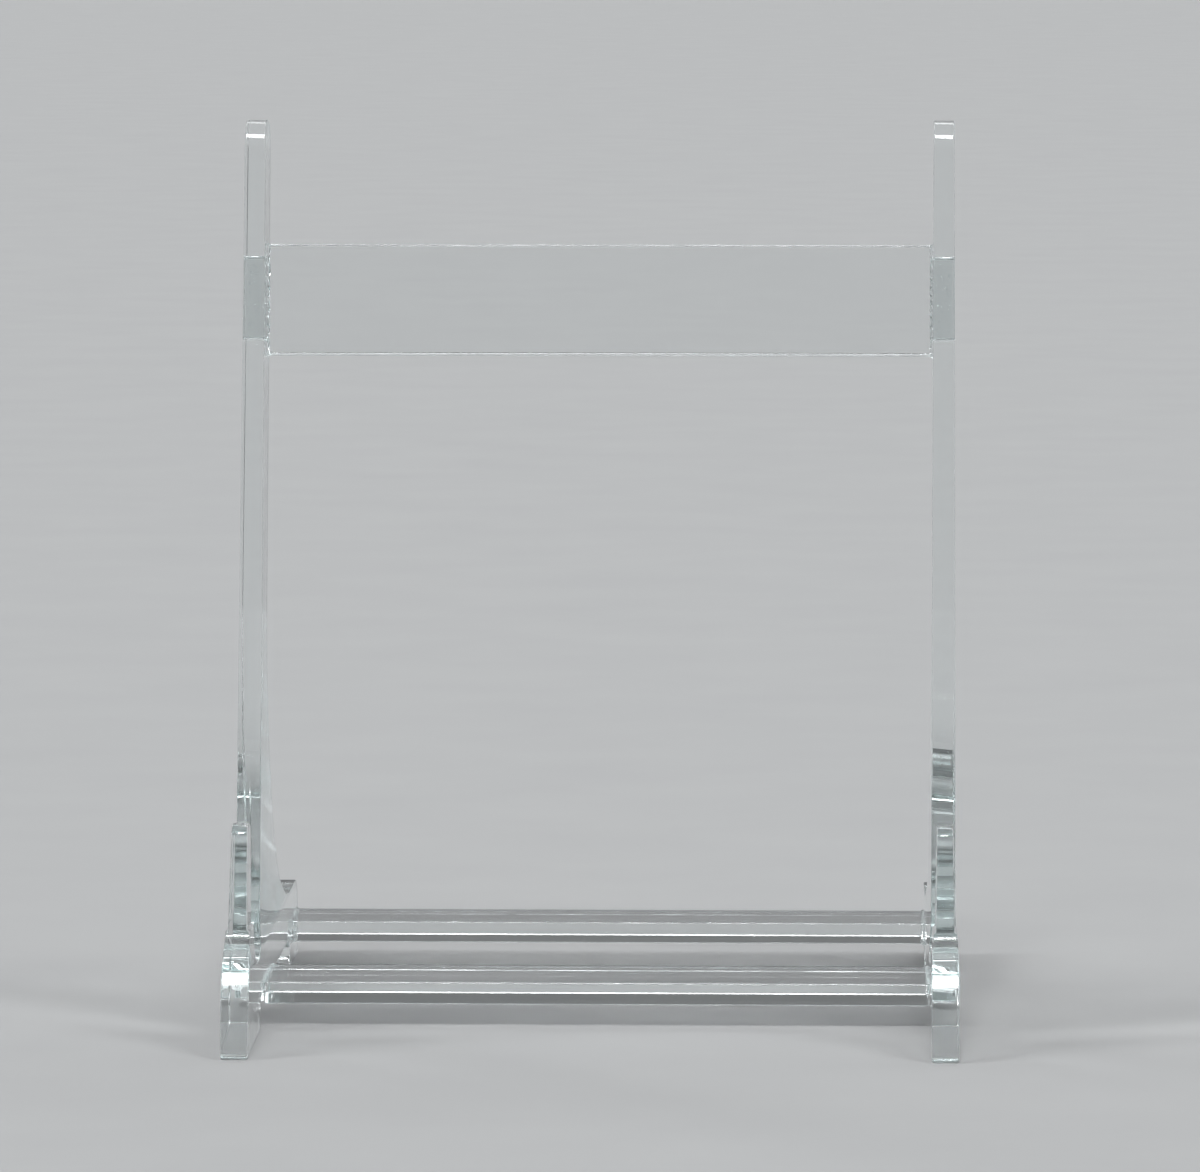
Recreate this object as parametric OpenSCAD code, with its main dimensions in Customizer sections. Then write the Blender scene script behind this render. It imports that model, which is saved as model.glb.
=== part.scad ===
// Clear plate display stand: two side arms held parallel by three flat crossbars.
// X runs across the stand, Y from the front toes to the rear heels, and Z is up.
// The origin is on the table, at the middle of the stand's footprint.

/* [Stand] */
// Distance between the middle planes of the two arms
arm_spacing = 100; // [84:1:130]
// Depth of each arm from its front toe to its rear heel
base_depth = 106; // [100:1:120]
// Height of the uprights that the plate leans on
stand_height = 130; // [112:1:150]
// Backward lean of the uprights and of the plate, in degrees
lean = 11; // [9:0.5:13]

/* [Arm thickness] */
// Thickness where the foot meets the table
foot_thickness = 3.8; // [3.4:0.1:4]
// Thickness at the shoulder, where it is greatest
shoulder_thickness = 4; // [4:0.1:5]
// Thickness at the top of the foot, below the prong
neck_thickness = 3.5; // [3.4:0.1:3.9]
// Thickness at the top of the upright
upright_top_thickness = 3; // [2.8:0.1:3.4]
// Thickness of the prong where it leaves the foot
prong_base_thickness = 2.8; // [2.6:0.1:3.2]
// Thickness of the prong at its tip
prong_tip_thickness = 2.4; // [2.2:0.1:2.7]

/* [Plate seat] */
// Height of the seat floor above the table
seat_height = 11; // [10.5:0.5:13]
// Width of the slot that holds the plate's rim
slot_width = 12; // [9:0.5:13]
// Height of the prong tips above the table
prong_height = 31.5; // [27:0.5:36]

/* [Crossbars] */
// Thickness of each crossbar strip
bar_thickness = 3.2; // [2.8:0.1:3.6]
// Width of the crossbar behind the front feet
front_bar_width = 18; // [16:0.5:20]
// Width of the crossbar between the rear feet
rear_bar_width = 14; // [12:0.5:14]
// Width of the crossbar between the uprights, along their lean
back_bar_width = 16; // [14:0.5:20]
// Gap between a tongue and each side of its mortise
joint_gap = 0.05; // [0.03:0.01:0.1]

/* [Hidden] */

$fn = 96;
clear_colour = [0.86, 0.9, 0.91, 0.45];

// An arm's outline is drawn as set-back from the toe, then height above the table.
// Front of the foot: a steep face, a broad convex shoulder, then a slope up to the prong
face_angle = 72;
slope_angle = 44;
shoulder_height = 11.5;
shoulder_corner = [shoulder_height / tan(face_angle), shoulder_height];
shoulder_radius = 14;
prong_foot_height = 16.4;
prong_foot_setback = shoulder_corner[0] + (prong_foot_height - shoulder_height) / tan(slope_angle);
prong_foot = [prong_foot_setback, prong_foot_height];
prong_fillet = 2;
edge_radius = 1;
blend_angle = 2;

// Rounding the toe moves its foremost point back, so the footprint's middle is a little behind half the depth
toe_relief = edge_radius * (cos(blend_angle) / tan(face_angle / 2) - 1);
footprint_middle = (base_depth + toe_relief) / 2;

// Prong: its front leans more than its back, so it thins towards the tip. A relief at each side makes it
// thinner than the foot, and starts with a slope at the neck.
prong_lean = 18;
prong_back = 15.2;
prong_tip_front = [leaned(prong_foot[0], prong_lean, prong_height - prong_foot_height), prong_height];
prong_tip_back = [leaned(prong_back, lean, prong_height - seat_height), prong_height];
prong_tip_radius = 2;
neck_height = 17;

// Seat and upright
seat_radius = 3.5;
upright_front = prong_back + slot_width;
slot_middle = prong_back + slot_width / 2;
upright_width = 10.5;
upright_run = upright_width / cos(lean);
upright_tip_front = [leaned(upright_front, lean, stand_height - seat_height), stand_height];
upright_tip_back = upright_tip_front + [upright_run, 0];
upright_tip_radius = 4;

// Base: the two feet are the ends of a low bar that an arch relieves
front_foot_length = 26;
rear_foot_length = 18;
arch_height = 5;
arch_radius = 3;
base_height = 12;
bay_corner = [leaned(upright_front, lean, base_height - seat_height) + upright_run, base_height];
sweep_radius = 42;
heel_radius = 5;

// Joints: each tongue is narrower than its strip, which leaves a shoulder at each side
tongue_shoulder = 2;
tongue_setback = 0.1;
front_bar_level = 6.3 - bar_thickness / 2;
front_bar_middle = 33 + front_bar_width / 2;
rear_bar_level = 5.6;
rear_bar_middle = base_depth - rear_foot_length / 2;
back_bar_level = stand_height - 26;
back_bar_middle = leaned(upright_front, lean, back_bar_level - seat_height) + upright_run / 2;

// Set-back at a height above the start of a line that leans by an angle from the vertical
function leaned(start, angle, height) = start + height * tan(angle);

// The point a distance away from p in direction a
function step(p, a, distance) = p + distance * [cos(a), sin(a)];

// Thickness of the foot and upright at a height
thickness_steps = [
    [0, foot_thickness],
    [shoulder_height, shoulder_thickness],
    [neck_height, neck_thickness],
    [stand_height, upright_top_thickness]
];
function thickness_at(height) = lookup(height, thickness_steps);

// The sliver between a corner and the arc that rounds it. The corner's edges leave it at angles a and b,
// and the arc meets them at the blend angle, so that it crosses them cleanly instead of just touching.
module corner_sliver(p, a, b, radius) {
    half = (b - a) / 2;
    reach = radius * cos(blend_angle);
    difference() {
        polygon([
            step(p, a + half, -radius / 10),
            step(p, a, reach / tan(half)),
            step(p, b, reach / tan(half))
        ]);
        translate(step(p, a + half, reach / sin(half))) circle(radius);
    }
}

// Opening for a tongue, seen from the side
module mortise(middle, level, angle, tongue_width) {
    translate([middle, level]) rotate(angle)
        square([tongue_width + 2 * joint_gap, bar_thickness + 2 * joint_gap], center = true);
}

// Relief under the base, between the two feet
module arch() {
    arch_end = base_depth - rear_foot_length;
    difference() {
        translate([front_foot_length, -1]) square([arch_end - front_foot_length, arch_height + 1]);
        corner_sliver([front_foot_length, arch_height], 270, 360, arch_radius);
        corner_sliver([arch_end, arch_height], 180, 270, arch_radius);
    }
}

// Side outline of an arm, with sharp inner corners
module arm_outline() {
    difference() {
        polygon([
            [0, 0],
            shoulder_corner,
            prong_foot,
            prong_tip_front,
            prong_tip_back,
            [prong_back, seat_height],
            [upright_front, seat_height],
            upright_tip_front,
            upright_tip_back,
            bay_corner,
            [base_depth, base_height],
            [base_depth, 0]
        ]);
        corner_sliver([0, 0], 0, face_angle, edge_radius);
        corner_sliver(shoulder_corner, 180 + face_angle, 360 + slope_angle, shoulder_radius);
        corner_sliver(prong_tip_front, 270 - prong_lean, 360, prong_tip_radius);
        corner_sliver(prong_tip_back, 180, 270 - lean, prong_tip_radius);
        corner_sliver(upright_tip_front, 270 - lean, 360, upright_tip_radius);
        corner_sliver(upright_tip_back, 180, 270 - lean, upright_tip_radius);
        corner_sliver([base_depth, base_height], 180, 270, heel_radius);
        corner_sliver([base_depth, 0], 90, 180, edge_radius);
        arch();
        mortise(front_bar_middle, front_bar_level, 0, front_bar_width - 2 * tongue_shoulder);
        mortise(rear_bar_middle, rear_bar_level, 0, rear_bar_width - 2 * tongue_shoulder);
        mortise(back_bar_middle, back_bar_level, 90 - lean, back_bar_width - 2 * tongue_shoulder);
    }
}

// Fillets in the outline's inner corners: the prong's foot, the seat's sides and the bay behind the upright
module inner_fillets() {
    corner_sliver(prong_foot, 90 - prong_lean, 180 + slope_angle, prong_fillet);
    corner_sliver([prong_back, seat_height], 0, 90 - lean, seat_radius);
    corner_sliver([upright_front, seat_height], 90 - lean, 180, seat_radius);
    corner_sliver(bay_corner, 0, 90 - lean, sweep_radius);
}

// Stands a side outline up as a slab that is wider than an arm, about the plane X = 0
module slab() {
    translate([-shoulder_thickness, 0, 0]) rotate([90, 0, 90])
        linear_extrude(2 * shoulder_thickness) children();
}

// Plate with the arm's side outline, thickest at the shoulder
module tapered_plate() {
    right_side = [for (row = thickness_steps) [row[1] / 2, row[0]]];
    left_side = [for (i = [len(right_side) - 1 : -1 : 0]) [-right_side[i][0], right_side[i][1]]];
    intersection() {
        union() {
            slab() arm_outline();
            slab() inner_fillets();
        }
        translate([0, base_depth + 1, 0]) rotate([90, 0, 0])
            linear_extrude(base_depth + 2) polygon(concat(right_side, left_side));
    }
}

// What is cut from the right side of an arm, from the toe to the middle of the slot, to thin the prong
module prong_relief() {
    step_in = (neck_thickness - prong_base_thickness) / 2;
    taper = (prong_base_thickness - prong_tip_thickness) / 2 / (prong_height - neck_height - step_in);
    translate([0, slot_middle, 0]) rotate([90, 0, 0]) linear_extrude(slot_middle + 1) polygon([
        [neck_thickness / 2 + 1, neck_height - 1],
        [prong_base_thickness / 2, neck_height + step_in],
        [prong_tip_thickness / 2 - taper, prong_height + 1],
        [neck_thickness / 2 + 1, prong_height + 1]
    ]);
}

// One arm, with its middle plane at X = 0
module arm() {
    translate([0, -footprint_middle, 0]) difference() {
        tapered_plate();
        prong_relief();
        mirror([1, 0, 0]) prong_relief();
    }
}

// A strip between the arms with a tongue at each end, centred on its own middle. Its shoulders meet the
// arms where they are thickest within its half height above and below its level.
module crossbar(width, level, half_height) {
    thickest = max(thickness_at(level - half_height), thickness_at(level + half_height));
    half_gap = (arm_spacing - thickest) / 2;
    tongue_reach = arm_spacing / 2 + thickness_at(level) / 2 - tongue_setback;
    cube([2 * half_gap, width, bar_thickness], center = true);
    cube([2 * tongue_reach, width - 2 * tongue_shoulder, bar_thickness], center = true);
}

// Moves a crossbar from the origin to its place in the arms
module place_crossbar(middle, level, angle) {
    translate([0, middle - footprint_middle, level]) rotate([angle, 0, 0]) children();
}

module left_arm() {
    color(clear_colour) translate([-arm_spacing / 2, 0, 0]) arm();
}

module right_arm() {
    color(clear_colour) translate([arm_spacing / 2, 0, 0]) arm();
}

module front_crossbar() {
    color(clear_colour) place_crossbar(front_bar_middle, front_bar_level, 0)
        crossbar(front_bar_width, front_bar_level, bar_thickness / 2);
}

module rear_crossbar() {
    color(clear_colour) place_crossbar(rear_bar_middle, rear_bar_level, 0)
        crossbar(rear_bar_width, rear_bar_level, bar_thickness / 2);
}

module back_crossbar() {
    color(clear_colour) place_crossbar(back_bar_middle, back_bar_level, 90 - lean)
        crossbar(back_bar_width, back_bar_level, back_bar_width / 2);
}

left_arm();
right_arm();
front_crossbar();
rear_crossbar();
back_crossbar();
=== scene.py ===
"""Looks of the clear plate display stand: polished acrylic arms and crossbars on a pale floor."""

import math
import random

import bmesh
import bpy
from mathutils import Matrix, Vector


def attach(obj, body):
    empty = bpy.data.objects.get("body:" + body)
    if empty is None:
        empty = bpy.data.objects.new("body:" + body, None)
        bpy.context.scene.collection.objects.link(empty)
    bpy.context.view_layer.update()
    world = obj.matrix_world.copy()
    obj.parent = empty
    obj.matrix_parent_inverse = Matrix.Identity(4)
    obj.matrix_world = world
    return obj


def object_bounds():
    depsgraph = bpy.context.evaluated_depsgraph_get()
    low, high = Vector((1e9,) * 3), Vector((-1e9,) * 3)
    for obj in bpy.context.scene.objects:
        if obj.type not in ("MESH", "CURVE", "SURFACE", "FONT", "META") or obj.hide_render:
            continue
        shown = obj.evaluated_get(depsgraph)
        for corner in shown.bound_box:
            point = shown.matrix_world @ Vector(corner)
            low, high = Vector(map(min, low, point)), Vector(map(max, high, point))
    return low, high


MM = 0.001

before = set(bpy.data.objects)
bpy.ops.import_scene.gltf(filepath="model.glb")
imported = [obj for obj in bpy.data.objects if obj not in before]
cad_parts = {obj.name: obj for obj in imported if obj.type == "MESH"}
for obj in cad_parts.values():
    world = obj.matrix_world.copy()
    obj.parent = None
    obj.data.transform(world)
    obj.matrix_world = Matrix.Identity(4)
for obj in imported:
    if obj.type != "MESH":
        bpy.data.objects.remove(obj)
cad_low, cad_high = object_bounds()


# ---------------------------------------------------------------- materials

REFRACTION = 1.49
SURFACE_TINT = (0.985, 0.995, 0.995, 1)
BODY_TINT = (0.68, 0.87, 0.86, 1)
BODY_DENSITY = 6.0

# Roughness of each kind of wear
HANDLED = 0.05
SCRATCHED = 0.16
GROUND = 0.8

# Noise scales, in features to the metre
RIPPLE_SCALE = 240
HANDLING_SCALE = 55
MOTTLE_SCALE = 30
SCRATCH_ACROSS = 900
SCRATCH_ALONG = 22

# Each set of scratches has a turn and a stretch
SCRATCH_SETS = (
    ((0.5, 0, 0.2), (SCRATCH_ACROSS, SCRATCH_ACROSS, SCRATCH_ALONG)),
    ((-0.9, 0.3, 0), (SCRATCH_ACROSS, SCRATCH_ALONG, SCRATCH_ACROSS)),
)
SCRATCH_DEPTH = 0.004 * MM

# The underside is ground up to the first height, and polished from the second
GROUND_UP_TO = 0.02 * MM
POLISHED_FROM = 0.08 * MM

FLOOR_DARK = (0.355, 0.357, 0.358, 1)
FLOOR_LIGHT = (0.385, 0.386, 0.385, 1)


def new_material(name):
    """An empty node material, its node maker and its linker."""
    material = bpy.data.materials.new(name)
    material.use_nodes = True
    tree = material.node_tree
    tree.nodes.clear()
    return material, tree.nodes.new, tree.links.new


def noise(make, link, vector, scale, detail, roughness=0.5):
    """A noise texture's height over a vector."""
    texture = make("ShaderNodeTexNoise")
    texture.inputs["Scale"].default_value = scale
    texture.inputs["Detail"].default_value = detail
    texture.inputs["Roughness"].default_value = roughness
    link(vector, texture.inputs["Vector"])
    return texture.outputs["Fac"]


def remap(make, link, value, from_low, from_high, to_low, to_high):
    """A value moved from one range to another, and clamped."""
    node = make("ShaderNodeMapRange")
    node.inputs["From Min"].default_value = from_low
    node.inputs["From Max"].default_value = from_high
    node.inputs["To Min"].default_value = to_low
    node.inputs["To Max"].default_value = to_high
    link(value, node.inputs["Value"])
    return node.outputs["Result"]


def combine(make, link, operation, first, second):
    """A Math node over two sockets, or over a socket and a number."""
    node = make("ShaderNodeMath")
    node.operation = operation
    for slot, value in enumerate((first, second)):
        if isinstance(value, (int, float)):
            node.inputs[slot].default_value = value
        else:
            link(value, node.inputs[slot])
    return node.outputs[0]


def mapped(make, link, vector, scale=(1, 1, 1), turn=(0, 0, 0), shift=(0, 0, 0)):
    """A vector stretched, turned and shifted. Noise over a stretched one becomes fine lines."""
    node = make("ShaderNodeMapping")
    node.inputs["Location"].default_value = shift
    node.inputs["Rotation"].default_value = turn
    node.inputs["Scale"].default_value = scale
    link(vector, node.inputs["Vector"])
    return node.outputs["Vector"]


def bump(make, link, height, depth, strength):
    """A Bump node over a height."""
    node = make("ShaderNodeBump")
    node.inputs["Strength"].default_value = strength
    node.inputs["Distance"].default_value = depth
    link(height, node.inputs["Height"])
    return node


def scratch_lines(make, link, place):
    """Hairline scratches in two directions: 1 on a scratch and 0 off it."""
    sets = []
    for turn, scale in SCRATCH_SETS:
        lines = noise(make, link, mapped(make, link, place, scale, turn), 1, 2, roughness=0.6)
        sets.append(remap(make, link, lines, 0.70, 0.76, 0, 1))
    return combine(make, link, "MAXIMUM", *sets)


def clear_acrylic(name, ripple_depth, seed):
    """Polished clear acrylic: faint ripple, hairline scratches, handling marks and a ground underside."""
    material, make, link = new_material(name)
    place = make("ShaderNodeTexCoord").outputs["Object"]
    shifted = mapped(make, link, place, shift=(seed, seed * 0.37, seed * 0.71))

    ripple = bump(make, link, noise(make, link, shifted, RIPPLE_SCALE, 1.5), ripple_depth, 1.0)
    scratches = scratch_lines(make, link, shifted)
    relief = bump(make, link, scratches, SCRATCH_DEPTH, 0.5)
    relief.invert = True
    link(ripple.outputs["Normal"], relief.inputs["Normal"])

    handling = remap(make, link, noise(make, link, shifted, HANDLING_SCALE, 5), 0.45, 0.75, 0.0, HANDLED)
    worn = combine(make, link, "MAXIMUM", handling, combine(make, link, "MULTIPLY", scratches, SCRATCHED))
    parts = make("ShaderNodeSeparateXYZ")
    link(place, parts.inputs[0])
    underside = remap(make, link, parts.outputs["Z"], GROUND_UP_TO, POLISHED_FROM, GROUND, 0.0)

    shader = make("ShaderNodeBsdfPrincipled")
    shader.inputs["Base Color"].default_value = SURFACE_TINT
    shader.inputs["Transmission Weight"].default_value = 1.0
    shader.inputs["IOR"].default_value = REFRACTION
    link(combine(make, link, "MAXIMUM", worn, underside), shader.inputs["Roughness"])
    link(relief.outputs["Normal"], shader.inputs["Normal"])
    body = make("ShaderNodeVolumeAbsorption")
    body.inputs["Color"].default_value = BODY_TINT
    body.inputs["Density"].default_value = BODY_DENSITY
    output = make("ShaderNodeOutputMaterial")
    link(shader.outputs["BSDF"], output.inputs["Surface"])
    link(body.outputs["Volume"], output.inputs["Volume"])
    return material


def floor_material():
    """Plain pale board with a very faint mottle."""
    material, make, link = new_material("pale_floor")
    place = make("ShaderNodeTexCoord").outputs["Object"]
    shade = make("ShaderNodeMix")
    shade.data_type = "RGBA"
    shade.inputs["A"].default_value = FLOOR_DARK
    shade.inputs["B"].default_value = FLOOR_LIGHT
    link(noise(make, link, place, MOTTLE_SCALE, 6), shade.inputs["Factor"])
    shader = make("ShaderNodeBsdfPrincipled")
    link(shade.outputs["Result"], shader.inputs["Base Color"])
    shader.inputs["Roughness"].default_value = 0.9
    shader.inputs["Specular IOR Level"].default_value = 0.03
    output = make("ShaderNodeOutputMaterial")
    link(shader.outputs["BSDF"], output.inputs["Surface"])
    return material


# ---------------------------------------------------------------- the stand

# Width of the rounded arrises, and the least turn between two faces that is an arris, in degrees
ARRIS = 0.2 * MM
ARRIS_TURN = 50

# Corners closer than the first are merged, and faces that turn by fewer degrees than the second are joined
WELD = 0.002 * MM
FLAT_TURN = 0.3


def soften_edges(node):
    """Rounds the arrises of a CAD part a little, as polishing does."""
    weld = node.modifiers.new("weld", "WELD")
    weld.merge_threshold = WELD
    flat = node.modifiers.new("flat", "DECIMATE")
    flat.decimate_type = "DISSOLVE"
    flat.angle_limit = math.radians(FLAT_TURN)
    edges = node.modifiers.new("edges", "BEVEL")
    edges.width = ARRIS
    edges.segments = 3
    edges.limit_method = "ANGLE"
    edges.angle_limit = math.radians(ARRIS_TURN)
    normals = node.modifiers.new("normals", "WEIGHTED_NORMAL")
    normals.keep_sharp = True
    for face in node.data.polygons:
        face.use_smooth = True


arm_acrylic = clear_acrylic("arm_acrylic", 0.008 * MM, 1.0)
bar_acrylic = clear_acrylic("bar_acrylic", 0.003 * MM, 5.0)
for name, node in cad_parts.items():
    is_arm = name.endswith("_arm")
    node.data.materials.clear()
    node.data.materials.append(arm_acrylic if is_arm else bar_acrylic)
    soften_edges(node)


# ---------------------------------------------------------------- solvent cement in the joints

# Two sizes that the cement has to know from the CAD: the gap round a tongue, and the top of the arch
GAP = 0.05 * MM
ARCH_CEILING = 5 * MM

# The cement goes a little way into the acrylic, so that no air shows between them. At a tongue's sides that
# is the overlap. It is more at the arm's face, which slopes, and most under the bar's rounded arrises.
OVERLAP = 0.02 * MM
FACE_OVERLAP = 0.06 * MM
ARRIS_OVERLAP = 0.25 * MM

# Size of the bead, and how far apart it is shaped
BEAD = 0.38 * MM
STOP_SPACING = 0.4 * MM

# Bubbles in each flat side of a film: how many, the least and most of their half length and half width in
# millimetres, their half thickness, and how far their middles stay from the tongue's root and the film's end
BUBBLES = 12
LEAST_BUBBLE = 0.06
MOST_BUBBLE = 0.24
BUBBLE_THICKNESS = 0.4 * GAP
ROOT_MARGIN = 0.3 * MM
TIP_MARGIN = 0.4 * MM


def corners_of(bar):
    """The corners of a crossbar's mesh, each listed once."""
    corners = []
    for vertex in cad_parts[bar].data.vertices:
        if all((vertex.co - corner).length > OVERLAP / 2 for corner in corners):
            corners.append(vertex.co.copy())
    return corners


def rectangle(corners):
    """Middle, half width and half thickness of a crossbar's section, from its four corners."""
    first = corners[0]
    near, far = sorted(corners[1:], key=lambda corner: (corner - first).length)[:2]
    thin, wide = (near - first) / 2, (far - first) / 2
    return sum(corners, Vector()) / 4, wide if wide.y > 0 else -wide, thin if thin.z > 0 else -thin


def way_round(section, lowest):
    """Stops round a section, each with the way it grows outwards there. Below the lowest level it is open."""
    middle, wide, thin = section
    across, up = wide.normalized(), thin.normalized()
    signs = ((-1, -1), (-1, 1), (1, 1), (1, -1))
    turns = [(middle + i * wide + j * thin, i * across + j * up) for i, j in signs]
    if lowest is None:
        turns.append(turns[0])
    else:
        turns[0] = (Vector((*turns[0][0].xy, lowest)), -across)
        turns[3] = (Vector((*turns[3][0].xy, lowest)), across)
    stops = []
    for (here, out_here), (there, out_there) in zip(turns, turns[1:]):
        steps = max(2, round((there - here).length / STOP_SPACING))
        stops += [(here.lerp(there, k / steps), out_here.lerp(out_there, k / steps)) for k in range(steps)]
    return stops if lowest is None else [*stops, turns[3]]


def sweep(mesh, stops, outline, side, closed):
    """A tube along the stops. Its outline at a stop lists points as distances out from and along the bar."""
    rings = []
    for k, (base, outward) in enumerate(stops):
        points = [base + out * outward + Vector((side * along, 0, 0)) for out, along in outline(k)]
        rings.append([mesh.verts.new(point) for point in points])
    pairs = list(zip(rings, rings[1:]))
    if closed:
        pairs.append((rings[-1], rings[0]))
    else:
        mesh.faces.new(rings[0])
        mesh.faces.new(rings[-1])
    for here, there in pairs:
        for j in range(len(here)):
            mesh.faces.new((here[j - 1], here[j], there[j], there[j - 1]))


def uneven_bead(k):
    """Outline of the bead that is squeezed out at a shoulder. Its size wavers from stop to stop."""
    size = BEAD * (1 + 0.16 * math.sin(0.9 * k) + 0.10 * math.sin(2.3 * k + 1))
    under_arris = (-ARRIS_OVERLAP, FACE_OVERLAP)
    on_bar = (-OVERLAP, -size)
    crown = (0.3 * size, -0.35 * size)
    on_arm = (size, FACE_OVERLAP)
    return under_arris, on_bar, crown, on_arm


def bubble(mesh, spot, upwards, long, wide):
    """A flat hollow in the film. Its faces look inwards, because the cement is outside it."""
    turn = Vector((0, 0, 1)).rotation_difference(upwards).to_matrix().to_4x4()
    shape = Matrix.Translation(spot) @ turn @ Matrix.Diagonal((long, wide, BUBBLE_THICKNESS, 1))
    made = bmesh.ops.create_icosphere(mesh, subdivisions=2, radius=1, matrix=shape)
    faces = {face for vertex in made["verts"] for face in vertex.link_faces}
    bmesh.ops.reverse_faces(mesh, faces=list(faces))


def cement(bar, material, lowest=None):
    """Cement at both ends of a crossbar: a bead at the shoulder and a film round the tongue, with bubbles."""
    corners = corners_of(bar)
    closed = lowest is None
    flat_sides = (-1, 1) if closed else (1,)
    mesh = bmesh.new()
    dice = random.Random(bar)
    spots = []
    for side in (-1, 1):
        end = [corner for corner in corners if side * corner.x > 0]
        tip = max(abs(corner.x) for corner in end)
        shoulder = min(abs(corner.x) for corner in end)
        at_tip = [corner for corner in end if abs(corner.x) > tip - OVERLAP]
        at_shoulder = [corner for corner in end if abs(corner.x) < tip - OVERLAP]

        middle, wide, thin = rectangle(at_tip)
        middle.x = side * shoulder
        rim = sorted(at_shoulder, key=lambda corner: (corner - middle).length)[-4:]
        sweep(mesh, way_round(rectangle(rim), lowest), uneven_bead, side, closed)

        near, far = FACE_OVERLAP - OVERLAP, tip - shoulder - 1.1 * ARRIS
        film = ((-OVERLAP, near), (GAP + OVERLAP, near), (GAP + OVERLAP, far), (-OVERLAP, far))
        sweep(mesh, way_round((middle, wide, thin), lowest), lambda k: film, side, closed)

        for level in flat_sides:
            surface = middle + level * (thin + GAP / 2 * thin.normalized())
            for k in range(BUBBLES):
                along = Vector((side * dice.uniform(ROOT_MARGIN, far - TIP_MARGIN), 0, 0))
                spots.append((surface + dice.uniform(-0.9, 0.9) * wide + along, thin))
    bmesh.ops.recalc_face_normals(mesh, faces=mesh.faces)
    for spot, upwards in spots:
        long = dice.uniform(LEAST_BUBBLE, MOST_BUBBLE) * MM
        wide = dice.uniform(LEAST_BUBBLE, MOST_BUBBLE) * MM
        bubble(mesh, spot, upwards, long, wide)

    data = bpy.data.meshes.new(bar + "_cement")
    mesh.to_mesh(data)
    mesh.free()
    data.materials.append(material)
    piece = bpy.data.objects.new(bar + "_cement", data)
    bpy.context.scene.collection.objects.link(piece)
    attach(piece, "root")


cement_clear = clear_acrylic("cement_clear", 0.012 * MM, 9.0)
cement("front_crossbar", cement_clear, lowest=ARCH_CEILING + OVERLAP)
cement("rear_crossbar", cement_clear)
cement("back_crossbar", cement_clear)


# ---------------------------------------------------------------- floor, light and camera

# The floor is a little below the feet, so that the two surfaces don't fight for the same place
FLOOR_SIZE = 400
FLOOR_DROP = 0.02 * MM

# Walls of the studio: how steeply up a direction points, from 0 for level to 1 for overhead, and their shade
WALLS = (
    (0.025, (0.528, 0.527, 0.531, 1)),
    (0.16, (0.17, 0.17, 0.17, 1)),
    (1.0, (0.40, 0.40, 0.40, 1)),
)
LIGHT_TINT = (0.97, 0.985, 1.0, 1)

PANELS = (
    # azimuth, elevation, width, height, strength
    (-2, 53, 14, 15, 26),
    (-75, 40, 12, 40, 9),
    (60, 55, 10, 30, 9),
    (160, 50, 40, 12, 3.5),
    (-140, 35, 10, 40, 3.5),
)

# Fewer bounces leave black patches inside the clear parts
BOUNCES = 300

# Place of the camera, in degrees and metres from a point between the toes, and the point it is aimed at
CAMERA_AZIMUTH = 1.75
CAMERA_ELEVATION = 8.5
CAMERA_DISTANCE = 1.1
TOES = Vector((0, cad_low.y, 0.01))
AIM = Vector((0, 0, 0.062))

# Width of the sensor and focal length of the lens, in millimetres
SENSOR = 36
LENS = 235


def around(azimuth, elevation):
    """Direction at so many degrees round from the front, to the viewer's right, and above level."""
    turn, rise = math.radians(azimuth), math.radians(elevation)
    return Vector((math.sin(turn) * math.cos(rise), -math.cos(turn) * math.cos(rise), math.sin(rise)))


def lay_floor():
    """Plain floor under the stand, wide enough to look endless."""
    bpy.ops.mesh.primitive_plane_add(size=FLOOR_SIZE, location=(0, 0, -FLOOR_DROP))
    floor = bpy.context.object
    floor.name = "floor"
    floor.data.materials.append(floor_material())


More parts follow.
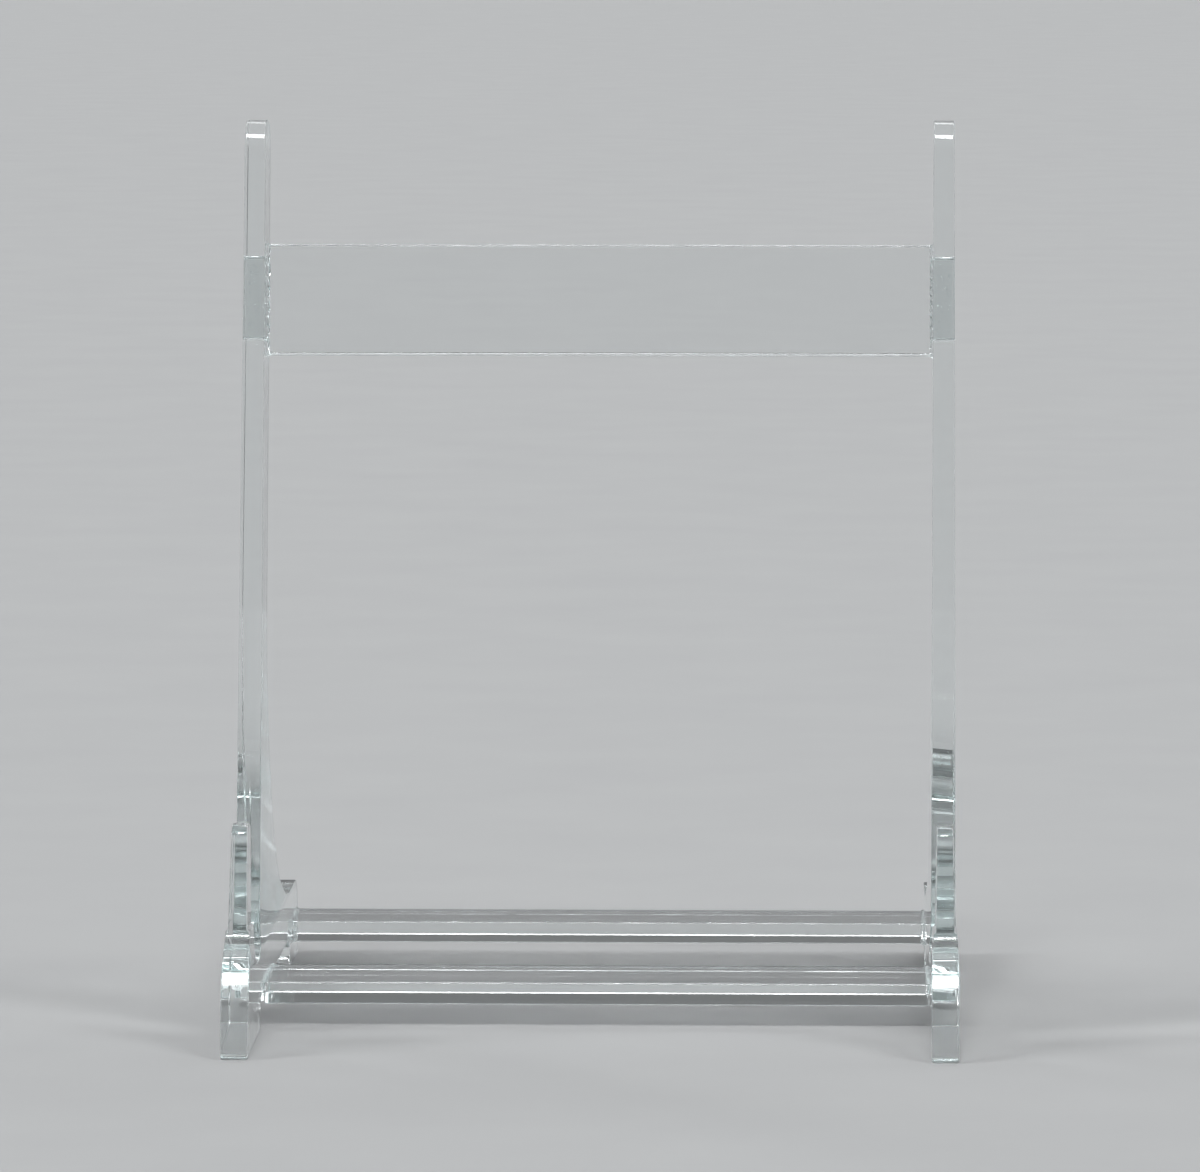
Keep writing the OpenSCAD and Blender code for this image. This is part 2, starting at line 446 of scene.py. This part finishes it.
def soft_panel(make, link, direction, toward, width, height, strength):
    """Glow of a far softbox: a soft-edged rectangle, so many degrees wide and high, around one direction."""
    facing = toward.to_track_quat("Z", "Y").inverted().to_euler()
    parts = make("ShaderNodeSeparateXYZ")
    link(mapped(make, link, direction, turn=facing), parts.inputs[0])
    glow = combine(make, link, "GREATER_THAN", parts.outputs["Z"], 0.0)
    for side, span in (("X", width), ("Y", height)):
        slope = combine(make, link, "DIVIDE", parts.outputs[side], parts.outputs["Z"])
        edge = math.tan(math.radians(span) / 2)
        inside = remap(make, link, combine(make, link, "ABSOLUTE", slope, 0.0), 0.8 * edge, 1.2 * edge, 1, 0)
        glow = combine(make, link, "MULTIPLY", glow, inside)
    return combine(make, link, "MULTIPLY", glow, strength)


def light_studio():
    """Pale studio: walls that dim a little above the horizon and brighten overhead, and far softboxes."""
    world = bpy.data.worlds.new("studio")
    world.use_nodes = True
    make, link = world.node_tree.nodes.new, world.node_tree.links.new
    direction = make("ShaderNodeTexCoord").outputs["Generated"]
    parts = make("ShaderNodeSeparateXYZ")
    link(direction, parts.inputs[0])
    walls = make("ShaderNodeValToRGB")
    walls.color_ramp.interpolation = "EASE"
    stops = walls.color_ramp.elements
    stops[0].position, stops[0].color = WALLS[0]
    stops[1].position, stops[1].color = WALLS[-1]
    for height, shade in WALLS[1:-1]:
        stops.new(height).color = shade
    link(parts.outputs["Z"], walls.inputs[0])
    light = walls.outputs["Color"]
    for azimuth, elevation, width, height, strength in PANELS:
        panel = soft_panel(make, link, direction, around(azimuth, elevation), width, height, strength)
        light = combine(make, link, "ADD", light, panel)
    background = world.node_tree.nodes["Background"]
    background.inputs["Color"].default_value = LIGHT_TINT
    link(light, background.inputs["Strength"])
    bpy.context.scene.world = world


def place_camera():
    """Camera in front of the stand and a little above it, aimed at its middle."""
    camera_data = bpy.data.cameras.new("camera")
    camera_data.sensor_width = SENSOR
    camera_data.lens = LENS
    camera_data.clip_end = 100
    camera = bpy.data.objects.new("camera", camera_data)
    bpy.context.scene.collection.objects.link(camera)
    bpy.context.scene.camera = camera
    camera.location = TOES + CAMERA_DISTANCE * around(CAMERA_AZIMUTH, CAMERA_ELEVATION)
    camera.rotation_euler = (AIM - camera.location).to_track_quat("-Z", "Y").to_euler()


lay_floor()
light_studio()
place_camera()
bpy.context.scene.view_settings.view_transform = "Standard"
light_paths = bpy.context.scene.cycles
light_paths.max_bounces = BOUNCES
light_paths.transmission_bounces = BOUNCES
light_paths.glossy_bounces = BOUNCES
